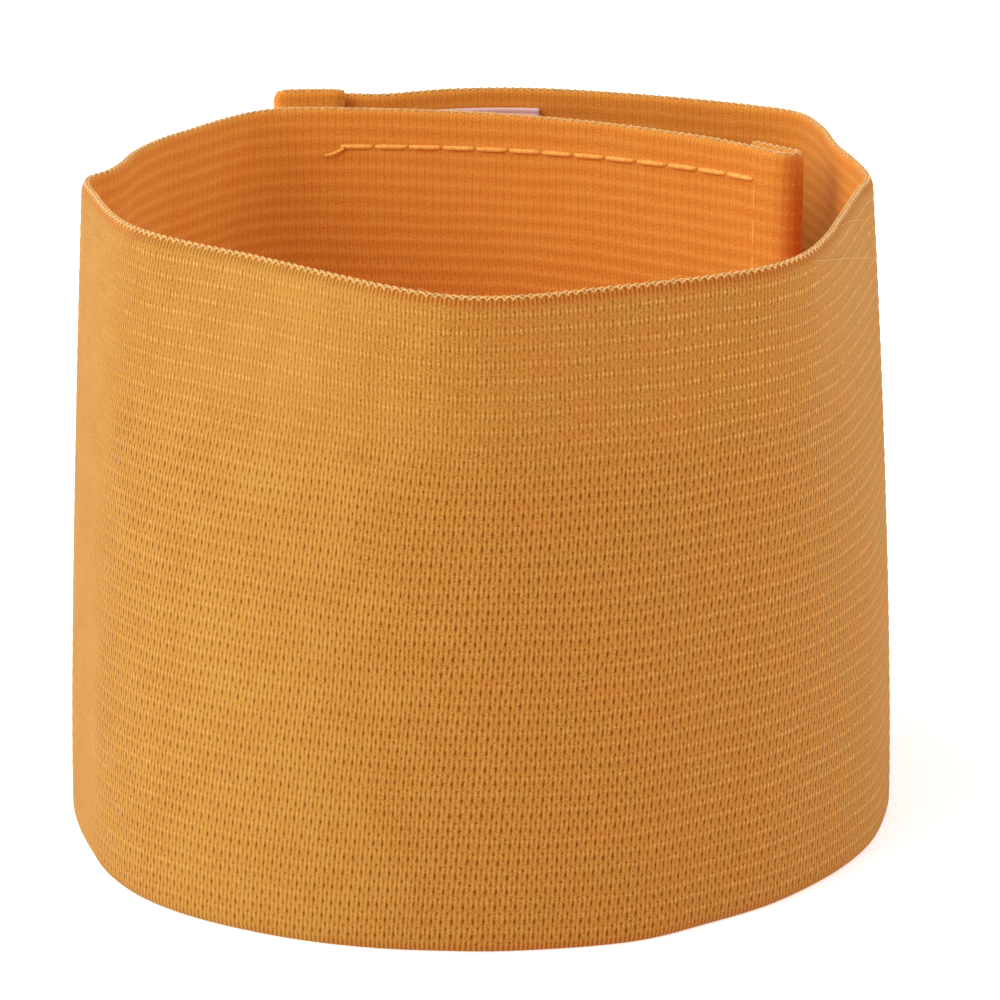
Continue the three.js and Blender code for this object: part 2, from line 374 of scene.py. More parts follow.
def make_piece(name, points, faces, cloth, finish, slot):
    """A mesh piece from points, lists of faces of one kind each, a cloth coordinate for each
    point (length along, height up and side, in metres and shares) and a material."""
    mesh = bpy.data.meshes.new(name)
    points = np.ascontiguousarray(points, dtype=np.float32).reshape(-1, 3)
    totals = np.concatenate([np.full(len(f), f.shape[1]) for f in faces])
    corners = np.concatenate([f.ravel() for f in faces])
    mesh.vertices.add(len(points))
    mesh.vertices.foreach_set("co", points.ravel())
    mesh.loops.add(len(corners))
    mesh.loops.foreach_set("vertex_index", corners.astype(np.int32))
    mesh.polygons.add(len(totals))
    starts = np.concatenate([[0], np.cumsum(totals)[:-1]])
    mesh.polygons.foreach_set("loop_start", starts.astype(np.int32))
    mesh.polygons.foreach_set("use_smooth", np.ones(len(totals), dtype=bool))
    mesh.update(calc_edges=True)
    if mesh.validate():
        raise RuntimeError(name + " has faults in its mesh")
    add_coordinate(mesh, "cloth", cloth)
    mesh.materials.append(finish)
    piece = bpy.data.objects.new(name, mesh)
    bpy.context.scene.collection.objects.link(piece)
    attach(piece, "root")
    return piece


def add_coordinate(mesh, name, values):
    """Three numbers for each point, which a material reads by name."""
    attribute = mesh.attributes.new(name, "FLOAT_VECTOR", "POINT")
    values = np.ascontiguousarray(values, dtype=np.float32).reshape(-1)
    attribute.data.foreach_set("vector", values)


def wander(x, y, pitch, seed):
    """A smooth random height from -0.5 to 0.5: random numbers on a square lattice of a pitch,
    joined between its points by 3s^2 - 2s^3 both ways."""
    grid = np.random.default_rng(seed).uniform(-0.5, 0.5, (256, 64))
    x, y = np.broadcast_arrays(x / pitch, y / pitch)
    i, j = np.floor(x).astype(int), np.floor(y).astype(int)
    u, v = smooth(x - i, 0, 1), smooth(y - j, 0, 1)
    corners = [grid[(i + m) % 256, (j + n) % 64] for m in (0, 1) for n in (0, 1)]
    low = corners[0] + (corners[2] - corners[0]) * u
    high = corners[1] + (corners[3] - corners[1]) * u
    return low + (high - low) * v


def hump(x, middle, width):
    """exp(-((x - middle) / width)^2)."""
    return np.exp(-((x - middle) / width) ** 2)


def grid_faces(rows, columns, close=False):
    """Quads between neighbours of a grid, closed across its columns if asked."""
    i = np.arange(rows - 1)[:, None]
    j = np.arange(columns if close else columns - 1)[None, :]
    k = (j + 1) % columns
    corners = (i * columns + j, (i + 1) * columns + j, (i + 1) * columns + k, i * columns + k)
    return np.stack(np.broadcast_arrays(*corners), axis=-1).reshape(-1, 4)


def band_faces(stations, around):
    """Faces of a closed section carried along stations, with strips of quads for its ends. The
    section's points go up one face and down the other, so that j and its mirror face each
    other."""
    sides = grid_faces(stations, around, close=True)
    j = np.arange(around // 2 - 1)
    cap = np.stack([j, j + 1, around - 2 - j, around - 1 - j], axis=-1)
    return [sides, cap, cap[:, ::-1] + (stations - 1) * around]


def band_section(low, high, half, round_off, levels):
    """A closed section: up the outer face, over a rounded edge, down the inner face and under
    a rounded edge. Each edge is a half ellipse of half the thickness by the rounding."""
    turn = np.radians((8, 24, 40, 56, 72))
    edge_offset, edge_height = half * np.sin(turn), round_off * (1 - np.cos(turn))
    face = np.linspace(low + round_off, high - round_off, levels)
    height = np.concatenate([low + edge_height, face, high - edge_height[::-1]])
    offset = np.concatenate([edge_offset, np.full(levels, half), edge_offset[::-1]])
    return np.concatenate([offset, -offset[::-1]]), np.concatenate([height, height[::-1]])


def tubes(paths, radius, beside, sides, along):
    """A tube round each path: centre + radius (cos q N + sin q B), with T the path's direction,
    N the given direction made square to T and B = T x N. Ends are flat polygons. Also gives
    each point's coordinate: along, and the share of the turn."""
    count, steps = paths.shape[:2]
    forward = unit(np.gradient(paths, axis=1))
    beside = beside - (beside * forward).sum(axis=-1, keepdims=True) * forward
    normal = unit(beside)
    other = np.cross(forward, normal)
    q = np.arange(sides) * 2 * math.pi / sides
    spread = (np.cos(q)[:, None] * normal[:, :, None] + np.sin(q)[:, None] * other[:, :, None])
    radius = np.broadcast_to(radius, (count, steps))[..., None, None]
    points = paths[:, :, None] + radius * spread
    quads = grid_faces(steps, sides, close=True)[:, [0, 3, 2, 1]]
    cap = np.arange(sides)[None]
    ends = np.concatenate([cap[:, ::-1], cap + (steps - 1) * sides])
    first = (np.arange(count) * steps * sides)[:, None, None]
    faces = [(quads + first).reshape(-1, 4), (ends + first).reshape(-1, sides)]
    along = np.broadcast_to(along, (count, steps))[..., None]
    share = np.broadcast_to(q / (2 * math.pi), (count, steps, sides))
    strand = np.broadcast_to(np.arange(count)[:, None, None], share.shape)
    cloth = np.stack([np.broadcast_to(along, share.shape), share, strand], axis=-1)
    return points.reshape(-1, 3), faces, cloth.reshape(-1, 3)


def joined(parts):
    """Several lots of points, faces and coordinates as one."""
    points, faces, cloth, first = [], [], [], 0
    for part_points, part_faces, part_cloth in parts:
        points.append(part_points)
        cloth.append(part_cloth)
        faces.extend(f + first for f in part_faces)
        first += len(part_points)
    return np.concatenate(points), faces, np.concatenate(cloth)


# Materials


class Value:
    """A socket whose arithmetic adds the Math nodes that work it out."""

    def __init__(self, shader, socket):
        self.shader, self.socket = shader, socket

    def math(self, operation, *others):
        values = {0: self}
        for place, other in enumerate(others, start=1):
            values[place] = other
        return self.shader.node("ShaderNodeMath", {"operation": operation}, values)

    def __add__(self, other):
        return self.math("ADD", other)

    def __sub__(self, other):
        return self.math("SUBTRACT", other)

    def __mul__(self, other):
        return self.math("MULTIPLY", other)

    def __truediv__(self, other):
        return self.math("DIVIDE", other)

    def __neg__(self):
        return self.math("MULTIPLY", -1.0)

    def __rsub__(self, other):
        return (-self).math("ADD", other)

    __radd__ = __add__
    __rmul__ = __mul__

    def clamped(self):
        return self.math("MAXIMUM", 0.0).math("MINIMUM", 1.0)

    def fraction(self):
        return self.math("FRACT")

    def floor(self):
        return self.math("FLOOR")

    def size(self):
        return self.math("ABSOLUTE")

    def cosine(self):
        return self.math("COSINE")

    def bell(self, width):
        """exp(-(x / width)^2)."""
        return (self * self * (-1 / width**2)).math("EXPONENT")

    def spot(self, other, wide, tall):
        """exp(-(x / wide)^2 - (y / tall)^2)."""
        upright = other * other * (-1 / tall**2)
        return (self * self).math("MULTIPLY_ADD", -1 / wide**2, upright).math("EXPONENT")

    def step(self, low, high):
        """0 below low, 1 above high and smooth between."""
        settings = {"interpolation_type": "SMOOTHSTEP"}
        inputs = {"Value": self, "From Min": low, "From Max": high}
        return self.shader.node("ShaderNodeMapRange", settings, inputs)


class Shader:
    """A material whose nodes are added by kind, settings and inputs."""

    def __init__(self, name):
        self.material = bpy.data.materials.new(name)
        self.material.use_nodes = True
        self.tree = self.material.node_tree
        self.tree.nodes.clear()

    def node(self, kind, settings=None, inputs=None, output=0):
        """A node of a kind, with its settings first, then its sockets' values or links."""
        node = self.tree.nodes.new(kind)
        for key, value in (settings or {}).items():
            setattr(node, key, value)
        for key, value in (inputs or {}).items():
            if isinstance(value, Value):
                self.tree.links.new(value.socket, node.inputs[key])
            else:
                node.inputs[key].default_value = value
        return None if output is None else Value(self, node.outputs[output])

    def split(self, vector):
        """A vector's three numbers, from one node."""
        node = self.tree.nodes.new("ShaderNodeSeparateXYZ")
        self.tree.links.new(vector.socket, node.inputs[0])
        return [Value(self, node.outputs[k]) for k in range(3)]

    def coordinate(self, name):
        """One of the piece's own coordinates, as three numbers."""
        return self.split(
            self.node("ShaderNodeAttribute", {"attribute_name": name}, output="Vector"))

    def vector(self, x, y, z):
        return self.node("ShaderNodeCombineXYZ", None, {0: x, 1: y, 2: z})

    def place(self):
        return self.node("ShaderNodeTexCoord", output="Object")

    def noise(self, vector, scale, detail=2.0, roughness=0.5):
        inputs = {"Vector": vector, "Scale": scale, "Detail": detail, "Roughness": roughness}
        return self.node("ShaderNodeTexNoise", None, inputs, output="Fac")

    def chances(self, x, y, z):
        """Three fixed random numbers for each whole place."""
        vector = self.vector(x, y, z)
        drawn = self.node("ShaderNodeTexWhiteNoise", None, {"Vector": vector}, output="Color")
        return self.split(drawn)

    def mix(self, share, first, second, blend="MIX"):
        """A colour between two, by a share."""
        settings = {"data_type": "RGBA", "blend_type": blend}
        inputs = {0: share, 6: solid(first), 7: solid(second)}
        return self.node("ShaderNodeMix", settings, inputs, output=2)

    def bump(self, height, distance):
        inputs = {"Height": height, "Distance": distance, "Strength": 1.0}
        return self.node("ShaderNodeBump", None, inputs)

    def finish(self, **inputs):
        """A Principled shader with these inputs, led to the output."""
        named = {key.replace("_", " "): solid(value) for key, value in inputs.items()}
        surface = self.node("ShaderNodeBsdfPrincipled", None, named)
        self.node("ShaderNodeOutputMaterial", None, {"Surface": surface}, output=None)
        return self.material


def solid(value):
    """A colour with its fourth number; anything else as it is."""
    if isinstance(value, (Value, float, int)):
        return value
    return (*value[:3], 1.0)


def seam_lines(length_from, length_to, margin):
    """A sewn rectangle: its ends along the strap, its edges up it and its stitches' lengths."""
    s = sizes()
    low, high = margin, s.strap_width - margin
    across = round((length_to - length_from) / s.seam_stitch)
    up = round((high - low) / s.seam_stitch)
    return {
        "ends": (length_from, length_to), "edges": (low, high), "counts": (across, up),
        "steps": ((length_to - length_from) / across, (high - low) / up),
    }


def hook_seam(ring):
    """The hook tape's seam, a little inside its edges, in lengths along the unrolled strap."""
    s = sizes()
    end = ring.end - s.clearance - s.seam_inset
    length = s.hook_length - 2 * s.seam_inset
    return seam_lines(end - length, end, s.hook_margin + 2.5 * s.seam_inset)


def loop_seam(ring):
    """The loop tape's seam, a little inside its edges and through the inner end's hem, in
    lengths along the unrolled strap."""
    s = sizes()
    end = ring.start + s.inner_hem + s.clearance + s.loop_length - s.seam_inset
    return seam_lines(ring.start + s.hem_seam, end, s.loop_margin + s.seam_inset)


def knit_coordinates(ring, cloth):
    """What the knit needs at each point, from its length, height and side. First half stitches
    along, rows up and 1 on the outer face, else 0; the stitches lean below the upper part. Then
    how far the openings show, how far the bright loops show, and how red the yarn is, or below
    0 how pale, much of it painted light: on the left the openings and loops are painted faint as
    flat light, the stretch beside it is painted pale as yellow light, at the right the openings
    are painted faint and the loops bright as grazing light, and the inner end's fold is painted
    red as shade. The redness also varies at random and grows from 150 to 200 mm, and the inner
    face and the hems are plainer."""
    s = sizes()
    along, height, side = np.moveaxis(cloth, -1, 0)
    drift = wander(along, height, 9 * MM, SEED) + 0.4 * wander(along, height, 3 * MM, SEED + 1)
    lean = np.maximum(s.slant_top - height, 0) * s.slant
    stitches = ((along + lean) / s.stitch_pitch + drift * 0.3) * 2
    rows = height / s.strap_width * s.row_count + drift * 0.25
    outer = (side > 0) & (along > ring.start) & (along < ring.end)
    facing = np.where(outer, 1.0, 0.0)
    upper = smooth(height, s.slant_top - 8 * MM, s.slant_top + 6 * MM)
    # Painted flat light: where the left side faces the key lamp, its openings and loops are painted
    # fainter.
    flat_lit = smooth(along, *FLAT_LIT_START) - smooth(along, *FLAT_LIT_END)
    # Painted light: pressed marks a stretch painted paler and yellower, with fainter openings,
    # standing in for the lamps' light there; the strap is not pressed.
    pressed = hump(along, *PALE_LIT)
    # Painted highlight: the bright loops grow much stronger towards the right, where the rows catch
    # grazing light.
    shown = 0.2 + 0.25 * upper + 0.62 * smooth(along, *LOOP_HIGHLIGHT_RISE)
    shown = shown + 0.35 * hump(along, 150 * MM, 12 * MM) - 0.2 * flat_lit
    # Painted light: the openings are painted fainter on the flat-lit left, on the pale stretch and
    # at the grazing-lit right.
    clear = 1 - 0.8 * flat_lit - 0.35 * hump(along, *GRAZING_LIT) - 0.3 * pressed * (1 - flat_lit)
    clear = np.where(outer, clear, 0.25)
    loops = np.where(outer, shown, 0.4)
    red = 0.24 * wander(along, height, 2.5 * MM, SEED + 2)
    red = red + 0.13 * smooth(along, 150 * MM, 200 * MM)
    # Painted light: the pale stretch, as redness below 0.
    red = red - np.where(outer, 0.34, 0.0) * pressed
    # Painted shade: the inner end's fold is painted redder, standing in for light bounced in the
    # gap beside it.
    red = red + 0.8 * hump(along, ring.start - 1.2 * MM, 1.3 * MM)
    return np.stack([stitches, rows, facing], axis=-1), np.stack([clear, loops, red], axis=-1)


def knit_finish():
    """The elastic, on a lattice of half stitches along and rows up. Even columns have long
    openings and odd ones short openings half a row higher, each with a fainter twin under it.
    Between the columns every row has a bright loop. Openings and loops are bells across and up,
    moved and weakened by chance. The openings are painted shade, the loops are partly painted
    highlight, and the yarn between the bars and the inner face's rows carry painted shade too."""
    s, c = sizes(), colours()
    k = Shader("Knitted elastic")
    height = k.coordinate("cloth")[1]
    a, b, outer = k.coordinate("knit")
    # Painted light along the strap, with random redness.
    clear, shown, red = k.coordinate("painted_light_and_tone")
    upper = b.step(0.68 * s.row_count, 0.86 * s.row_count)
    edge = (height - s.strap_width / 2).size() - s.strap_width / 2 + s.edge_band
    edge = edge.step(0, 0.7 * MM)
    line = (a + 0.5).floor()
    odd = (line * 0.5).fraction() * 2
    across = a - line
    risen = b - odd * 0.5
    course = (risen + 0.5).floor()
    up = risen - course
    first, second, third = k.chances(line, course, outer)
    short = 0.14 - odd * 0.045
    opening = (across + (first - 0.5) * 0.3).spot((up + (second - 0.5) * 0.14) / short, 0.23, 1.0)
    opening = opening * (third * 0.6 + 0.7) * (1 - upper * (0.8 - odd * 0.45))
    tail = across.spot(up + 0.08, 0.2, 0.32) * (1 - odd) * (0.5 - upper * 0.35)
    twin = across.spot(b - 0.17 - (b + 0.33).floor(), 0.2, 0.1) * odd * (0.3 + upper * 0.4)
    lines = across.bell(0.15) * (0.17 - upper * 0.05)
    # Painted shade: the openings, their tails and twins, and the lines between the columns are dark
    # as the shade inside them.
    holes = opening + tail + twin * (second + 0.5) + lines
    holes = holes + edge * (across.bell(0.26) * 0.75 - holes)
    holes = (holes * clear).clamped()
    loop, row = a.floor(), (b + 0.17).floor()
    loop_up = b - 0.33 - row
    luck, kind, other = k.chances(loop, row, outer + 0.5)
    # Partly painted highlight: the bright loops, strongest where the light grazes the rows.
    loops = (a - loop - 0.5 + loop_up * 0.9 + (kind - 0.5) * 0.5).spot(loop_up, 0.2, 0.11)
    loops = (loops * (luck + 0.15) * shown * (1 - edge)).clamped()
    fibre = k.noise(k.vector(a * 1.4, b * 4.2, outer), 1.9, 1.0, 0.5)
    ribs = 0.5 - (a * TURN).cosine() * 0.5
    # Painted light and shade: on the inner face each row is lighter above and darker below, as if
    # lit from above, and the yarn between the bars is painted darker as shade in the grooves.
    bands = (b * TURN - 2.1).cosine()
    ticks = bands * 0.13 - odd * across.bell(0.3) * (0.17 - bands * 0.13)
    # Painted light: where the redness is below 0, the yarn is painted pale and its bars stronger.
    pale = (-red).clamped()
    barred = (ribs - 0.5) * (0.66 + bands * 0.4) * (1 + pale * 3) + other * 0.1
    light = ticks + (barred - ticks) * outer + (fibre - 0.5) * (1.7 + outer * 2.3) + 0.56
    yarn = k.mix(light.clamped(), c.yarn_deep, c.yarn)
    # Painted light: the inner face keeps the brighter, redder colour of light bounced inside the
    # ring, and the outer face is multiplied down.
    yarn = k.mix(1.0, yarn, k.mix(outer, (1.0, 1.0, 1.0), c.outer_without_bounce), "MULTIPLY")
    yarn = k.mix(pale, yarn, c.yarn_pale)
    # Redder by random tone, on the tight edge rows, and by painted shade at the inner end's fold.
    yarn = k.mix((red + edge * outer * 0.4).clamped(), yarn, c.edge_red)
    yarn = k.mix(loops, yarn, c.yarn_light)
    # Painted shade: the openings.
    yarn = k.mix(holes, yarn, c.opening_shade)
    relief = ribs * outer * 0.35 + fibre * 0.6
    return k.finish(
        Base_Color=yarn, Roughness=0.8 + holes * 0.15, Normal=k.bump(relief, s.knit_depth),
        Sheen_Weight=0.17, Sheen_Roughness=0.45, Sheen_Tint=(0.80, 0.92, 0.42),
        Specular_IOR_Level=0.12)


def yarn_finish(name, colour_of_yarn, shade, scale, shaded_ends=False):
    """A yarn: its colour darkened by fine streaks, with a soft sheen. One with shaded ends is
    painted dark at both ends, as painted shade where it goes into the cloth."""
    k = Shader(name)
    place = k.place()
    streak = k.noise(place, scale, 2.0, 0.6)
    tone = k.mix(streak.step(0.35, 0.7), shade, colour_of_yarn)
    if shaded_ends:
        ends = (k.coordinate("cloth")[0] - 0.5).size()
        # Painted shade: the thread's ends are darkened where it sinks into its holes.
        tone = k.mix(ends.step(0.45, 0.48) * 0.85, tone, colours().opening_shade)
    return k.finish(
        Base_Color=tone, Roughness=0.6 + streak * 0.25, Normal=k.bump(streak, 0.08 * MM),
        Sheen_Weight=0.2, Sheen_Roughness=0.5, Specular_IOR_Level=0.35)


# Pieces


class ARMBAND_OT_strap(Operator):
    """Make the knitted strap: a ribbed section carried along the ring and its folded ends"""

    bl_idname = "armband.strap"
    bl_label = "Knitted strap"

    def execute(self, context):
        s, ring = sizes(), make_ring()
        flap = np.linspace(0, s.inner_hem, 5)[:-1]
        fold = np.linspace(s.inner_hem, ring.start, 9)[:-1]
        body = np.linspace(ring.start, ring.end, 252)
        last_fold = np.linspace(ring.end, ring.cloth - s.outer_hem, 9)[1:]
        last_flap = np.linspace(ring.cloth - s.outer_hem, ring.cloth, 6)[1:]
        along = np.concatenate([flap, fold, body, last_fold, last_flap])
        levels = round((s.strap_width - 2 * s.edge_taper) / s.strap_width * s.row_count * 4)
        half = s.strap_thickness / 2
        offset, height = band_section(0, s.strap_width, half, s.edge_taper, levels)
        valley = 0.5 - 0.5 * np.cos((height / s.strap_width * s.row_count - 0.33) * TURN)
        outer_depth = 1 - 0.7 * hump(along[:, None], 126 * MM, 11 * MM)
        depth = np.where(offset > 0, outer_depth, 0.15) * s.row_relief
        relief = np.sign(offset) * valley * depth * (np.abs(offset) > 0.99 * half)
        points = on_cloth(ring, along[:, None], offset - relief, height)
        cloth = np.stack(np.broadcast_arrays(along[:, None], height, offset / half), axis=-1)
        faces = band_faces(len(along), len(height))
        piece = make_piece("Knitted_strap", points, faces, cloth, knit_finish(), "elastic")
        for name, values in zip(("knit", "painted_light_and_tone"), knit_coordinates(ring, cloth)):
            add_coordinate(piece.data, name, values)
        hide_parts("elastic_strap")
        return {"FINISHED"}


class ARMBAND_OT_binding(Operator):
    """Make the yarn that binds both edges: a core, and arches over it from both faces, |sin|^0.6"""

    bl_idname = "armband.binding"
    bl_label = "Edge binding"

    def execute(self, context):
        s, c, ring = sizes(), colours(), make_ring()
        count = int(ring.cloth / s.stitch_pitch) - 1
        turn = np.linspace(0, count, count * 8 + 1)
        along = s.stitch_pitch * (0.5 + turn)
        inset = s.wrap_height / 2 + s.edge_yarn
        parts = []
        core = np.linspace(along[0], along[-1], count * 2)
        for edge, outward in ((s.strap_width - inset / 2, 1), (inset, -1)):
            path = on_cloth(ring, core, 0.0, edge)[None]
            beside = np.broadcast_to(np.array([0.0, 0.0, 1.0]), path.shape)
            parts.append(tubes(path, 1.1 * s.edge_yarn, beside, 5, core))
            for face, shift in ((1, 0.0), (-1, 0.5)):
                arch = np.abs(np.sin(math.pi * (turn + shift))) ** 0.6
                height = edge + outward * s.wrap_height * (arch - 0.5)
                offset = face * s.wrap_reach * (1 - 0.6 * arch)
                axis = on_cloth(ring, along, 0.0, edge - outward * s.wrap_height * 2)[None]
                path = on_cloth(ring, along, offset, height)[None]
                parts.append(tubes(path, s.edge_yarn, path - axis, 5, along))
        finish = yarn_finish("Edge yarn", c.edge_yarn, c.yarn_light, 1500.0)
        make_piece("Edge_binding", *joined(parts), finish, "elastic")
        return {"FINISHED"}


def pad_offset(ring, length):
    """The hook tape's middle: beside the ply, and a hem's thickness further in over the hem,
    with a step of 3s^2 - 2s^3 between."""
    s = sizes()
    on_ply = s.strap_thickness / 2 + s.clearance + s.hook_thickness / 2
    hem_edge = ring.length - s.outer_hem - s.clearance
    over = smooth(length, hem_edge - s.hook_step, hem_edge)
    return -on_ply - (s.strap_thickness + s.outer_slit) * over


def tape(ring, lengths, centre, half, margin, levels):
    """A thin closed band beside the ring through lengths, at an offset for each."""
    s = sizes()
    offset, height = band_section(margin, s.strap_width - margin, half, 0.12 * MM, levels)
    points = on_ring(ring, lengths[:, None], centre[:, None] + offset, height)
    cloth = np.stack(
        np.broadcast_arrays(lengths[:, None], height, np.sign(offset)), axis=-1)
    return points, band_faces(len(lengths), len(height)), cloth


def hook_finish():
    """Moulded fastener plastic: pale, smooth and a little cloudy."""
    c = colours()
    k = Shader("Hook tape plastic")
    place = k.place()
    cloud = k.noise(place, 180.0, 2.0)
    rib = k.coordinate("cloth")[1] / (0.65 * MM)
    ribs = (rib * TURN).cosine() * 0.5 + 0.5
    tone = k.mix(cloud.step(0.3, 0.75) * 0.6, c.hook, c.hook_shade)
    tone = k.mix(ribs * 0.25, tone, c.hook_shade)
    return k.finish(
        Base_Color=tone, Roughness=0.42 + cloud * 0.2, Normal=k.bump(ribs, 0.06 * MM),
        Specular_IOR_Level=0.45)


class ARMBAND_OT_hook_tape(Operator):
    """Make the hook tape: a thin tape on the outer ply's inner face, and rows of hooks"""

    bl_idname = "armband.hook_tape"
    bl_label = "Hook tape"

    def execute(self, context):
        s, ring = sizes(), make_ring()
        finish = hook_finish()
        end = ring.length - s.clearance
        lengths = np.linspace(end - s.hook_length, end, 64)
        back = 0.25 * s.hook_thickness
        centre = pad_offset(ring, lengths) + 0.5 * s.hook_thickness - back
        parts = tape(ring, lengths, centre, back, s.hook_margin, 72)
        piece = make_piece("Hook_tape", *parts, finish, "hook_tape")
        edge = 1.2 * MM
        across = np.arange(end - s.hook_length + edge, end - edge, s.hook_pitch)
        up = np.arange(s.hook_margin + edge, s.strap_width - s.hook_margin - edge, s.hook_pitch)
        length, height = (grid.ravel()[:, None] for grid in np.meshgrid(across, up))
        turn = np.linspace(0, 1, 7)[None]
        bend = np.clip(turn - 0.45, 0, 1) / 0.55 * math.pi
        curl = 0.16 * MM
        tall = s.hook_thickness / 2 - curl
        stalk = np.minimum(turn / 0.45, 1) * tall + curl * np.sin(bend)
        lean = curl * (1 - np.cos(bend)) * np.where(np.round(height / s.hook_pitch) % 2, 1, -1)
        root = pad_offset(ring, length) + 0.02 * MM
        path = on_ring(ring, length + 0 * turn, root - stalk, height + lean)
        beside = on_ring(ring, length + 0.5 * MM, root - stalk, height + lean) - path
        radius = 0.11 * MM * (1 - 0.35 * turn)
        hooks = make_piece(
            "Hook_tape_hooks", *tubes(path, radius, beside, 4, turn), finish, "hook_tape")
        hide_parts("hook_pad")
        return {"FINISHED"}


def pile_finish():
    """Brushed loops: tangled fine fibre over a woven ground."""
    c = colours()
    k = Shader("Loop tape pile")
    place = k.place()
    tangle = k.noise(place, 2200.0, 3.0, 0.65)
    tuft = k.noise(place, 700.0, 2.0)
    tone = k.mix(tangle.step(0.35, 0.7), c.yarn_deep, c.loop)
    tone = k.mix((tuft - 0.45).clamped() * 1.6, tone, c.yarn_light)
    return k.finish(
        Base_Color=tone, Roughness=0.85 + tuft * 0.1, Normal=k.bump(tangle + tuft, 0.25 * MM),
        Sheen_Weight=0.6, Sheen_Roughness=0.4, Sheen_Tint=(1.0, 0.8, 0.55),
        Specular_IOR_Level=0.2)


class ARMBAND_OT_loop_tape(Operator):
    """Make the loop tape: a thin tape on the inner ply's outer face, and a pile of loops"""

    bl_idname = "armband.loop_tape"
    bl_label = "Loop tape"

    def execute(self, context):
        s, ring = sizes(), make_ring()
        finish = pile_finish()
        start = s.inner_hem + s.clearance
        lengths = np.linspace(start, start + s.loop_length, 90)
        back = 0.28 * s.loop_thickness
        inside = s.strap_thickness / 2 + s.clearance
        centre = np.full(len(lengths), inside + back)
        parts = tape(ring, lengths, centre, back, s.loop_margin, 90)
        piece = make_piece("Loop_tape", *parts, finish, "loop_tape")
        draw = np.random.default_rng(SEED)
        pitch = s.loop_pitch
        edge = 0.8 * MM
        across = np.arange(start + edge, start + s.loop_length - edge, pitch)
        up = np.arange(s.loop_margin + edge, s.strap_width - s.loop_margin - edge, pitch)
        length, height = (grid.ravel()[:, None] for grid in np.meshgrid(across, up))
        count = len(length)
        length = length + draw.uniform(-0.4, 0.4, (count, 1)) * pitch
        height = height + draw.uniform(-0.4, 0.4, (count, 1)) * pitch
        heading = draw.uniform(0, TURN, (count, 1))
        reach = draw.uniform(0.25, 0.6, (count, 1)) * MM
        tall = draw.uniform(0.6, 1.0, (count, 1)) * 0.44 * s.loop_thickness
        turn = np.linspace(0, math.pi, 7)[None]
        out = reach * (1 - np.cos(turn)) / 2
        bow = 0.25 * reach * np.sin(turn)
        length = length + out * np.cos(heading) - bow * np.sin(heading)
        height = height + out * np.sin(heading) + bow * np.cos(heading)
        offset = inside + 2 * back + tall * np.sin(turn)
        path = on_ring(ring, length, offset, height)
        beside = on_ring(ring, length, offset + MM, height) - path
        beside = beside + unit(np.roll(beside, 1, axis=-1)) * 0.3 * MM
        loops = make_piece(
            "Loop_tape_pile", *tubes(path, 0.045 * MM, beside, 3, turn), finish, "loop_tape")
        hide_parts("loop_pad")
        return {"FINISHED"}


def seam_runs(seam):
    """Each stitch's start and end as (along, height) pairs, round the sewn rectangle."""
    (start, end), (low, high) = seam["ends"], seam["edges"]
    across, up = (np.linspace(0, 1, n + 1) for n in seam["counts"])
    along = np.concatenate([
        start + across * (end - start), np.full(len(up), end),
        end - across * (end - start), np.full(len(up), start)])
    height = np.concatenate([
        np.full(len(across), high), high - up * (high - low),
        np.full(len(across), low), low + up * (high - low)])
    points = np.stack([along, height], axis=-1)
    pairs = np.stack([points[:-1], points[1:]], axis=1)
    return pairs[np.linalg.norm(pairs[:, 1] - pairs[:, 0], axis=-1) > 0.1 * MM]


def stitches(ring, pairs, face, outward):
    """Sewn stitches: each runs between its holes in a low arch, 1 - (2s - 1)^6 of its height,
    whose ends dip into the cloth. face gives the cloth's surface for a length."""
    s = sizes()
    share = np.linspace(0, 1, 11)[None]
    arch = 1 - np.abs(2 * share - 1) ** 6
    gap = 0.01
    run = gap + share * (1 - 2 * gap)
    along = pairs[:, :1, 0] + run * (pairs[:, 1:, 0] - pairs[:, :1, 0])
    height = pairs[:, :1, 1] + run * (pairs[:, 1:, 1] - pairs[:, :1, 1])
    length = along - ring.start
    upright = np.abs(pairs[:, 1:, 1] - pairs[:, :1, 1]) > MM
    sunk = np.where(upright, 1.92, 0.75)
    lift = outward * (arch * 1.1 - sunk) * s.seam_thread
    path = on_ring(ring, length, face(length) + lift, height)
    beside = on_ring(ring, length, face(length) + lift + outward * MM, height) - path
    radius = s.seam_thread * (0.55 + 0.45 * arch)
    return tubes(path, radius, beside, 6, share)


